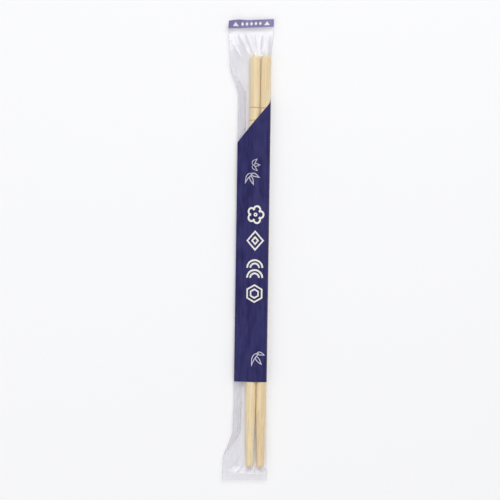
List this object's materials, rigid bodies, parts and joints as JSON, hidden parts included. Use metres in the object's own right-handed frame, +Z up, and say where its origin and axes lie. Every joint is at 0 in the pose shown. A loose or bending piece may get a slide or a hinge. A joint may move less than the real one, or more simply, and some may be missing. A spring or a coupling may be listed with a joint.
{
  "type": "bamboo chopsticks",
  "caption": "Pair of round bamboo chopsticks with domed heads and tapered tips, sealed flat in a clear film sleeve with a dark printed band.",
  "frame": {"origin": "on the table, under the middle of the sleeve", "axes": "+Y along the sticks, towards their heads; +Z up, out of the printed side; +X towards the side that the sticks lie on"},
  "size_m": [0.022, 0.224, 0.0052],
  "materials": {
    "bamboo": "satin",
    "clear_film": "gloss",
    "navy_ink": "gloss",
    "violet_ink": "gloss"
  },
  "bodies": {
    "root": {"chopstick_left": "bamboo", "chopstick_right": "bamboo", "film_sleeve": "clear_film", "printed_band": "navy_ink", "printed_strip": "violet_ink"}
  },
  "joints": []
}
